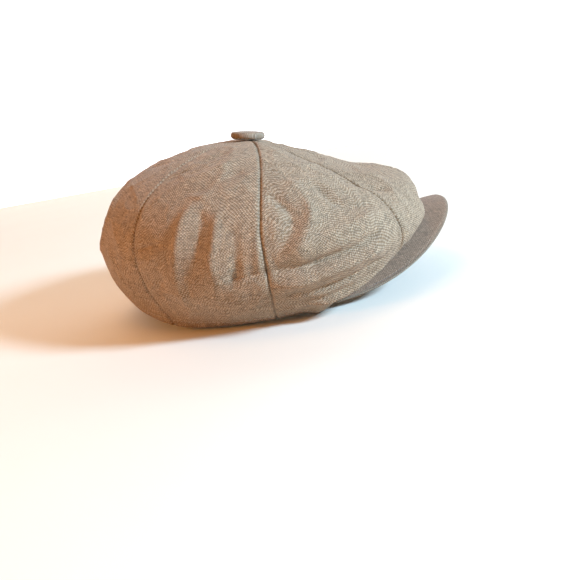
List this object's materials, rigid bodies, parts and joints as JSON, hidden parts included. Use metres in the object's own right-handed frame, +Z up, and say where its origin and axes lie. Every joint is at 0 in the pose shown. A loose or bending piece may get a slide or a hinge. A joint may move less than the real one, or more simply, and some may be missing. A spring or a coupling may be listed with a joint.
{
  "type": "newsboy cap",
  "caption": "Soft paneled cap: a full linen crown sewn from gores, a short arched visor tucked under it, a covered button on top.",
  "frame": {"origin": "centre of the head opening, in the plane of the side hems", "axes": "+X forward along the visor, +Y to the wearer's left, +Z up out of the head opening"},
  "size_m": [0.2491, 0.2226, 0.1137],
  "materials": {
    "crown_linen": "plain-woven linen melange, matte",
    "lining_cloth": "fine cotton lining, slight sheen",
    "sweatband_cloth": "ribbed cotton band",
    "tape_cloth": "woven cotton tape",
    "visor_board": "matte polyethylene board",
    "visor_linen": "plain-woven linen melange, matte",
    "button_linen": "linen stretched over a shell",
    "button_metal": "tinned steel",
    "washer": "moulded washer"
  },
  "bodies": {
    "crown": {"apex_washer": "washer", "crown_back_left": "crown_linen", "crown_back_right": "crown_linen", "crown_front_left": "crown_linen", "crown_front_right": "crown_linen", "crown_side_back_left": "crown_linen", "crown_side_back_right": "crown_linen", "crown_side_front_left": "crown_linen", "crown_side_front_right": "crown_linen", "hem_stay_tape": "tape_cloth", "lining_back_left": "lining_cloth", "lining_back_right": "lining_cloth", "lining_front_left": "lining_cloth", "lining_front_right": "lining_cloth", "lining_side_back_left": "lining_cloth", "lining_side_back_right": "lining_cloth", "lining_side_front_left": "lining_cloth", "lining_side_front_right": "lining_cloth", "sweatband": "sweatband_cloth"},
    "visor": {"visor_board": "visor_board", "visor_top_cover": "visor_linen", "visor_under_cover": "visor_linen"},
    "button": {"button_cover": "button_linen", "button_shell": "button_metal", "button_back": "button_metal", "button_prong": "button_metal"}
  },
  "joints": [
    {"name": "visor_flex", "type": "hinge", "parent": "crown", "child": "visor", "pos_m": [0.038, 0, 0.0035], "axis": [0, 1, 0], "range_deg": [0, 12], "stiffness_Nm_per_rad": 1, "springref_deg": -2.86},
    {"name": "button_turn", "type": "hinge", "parent": "crown", "child": "button", "pos_m": [0.003, 0, 0.106], "axis": [0.1736, 0, 0.9848], "continuous": true}
  ]
}
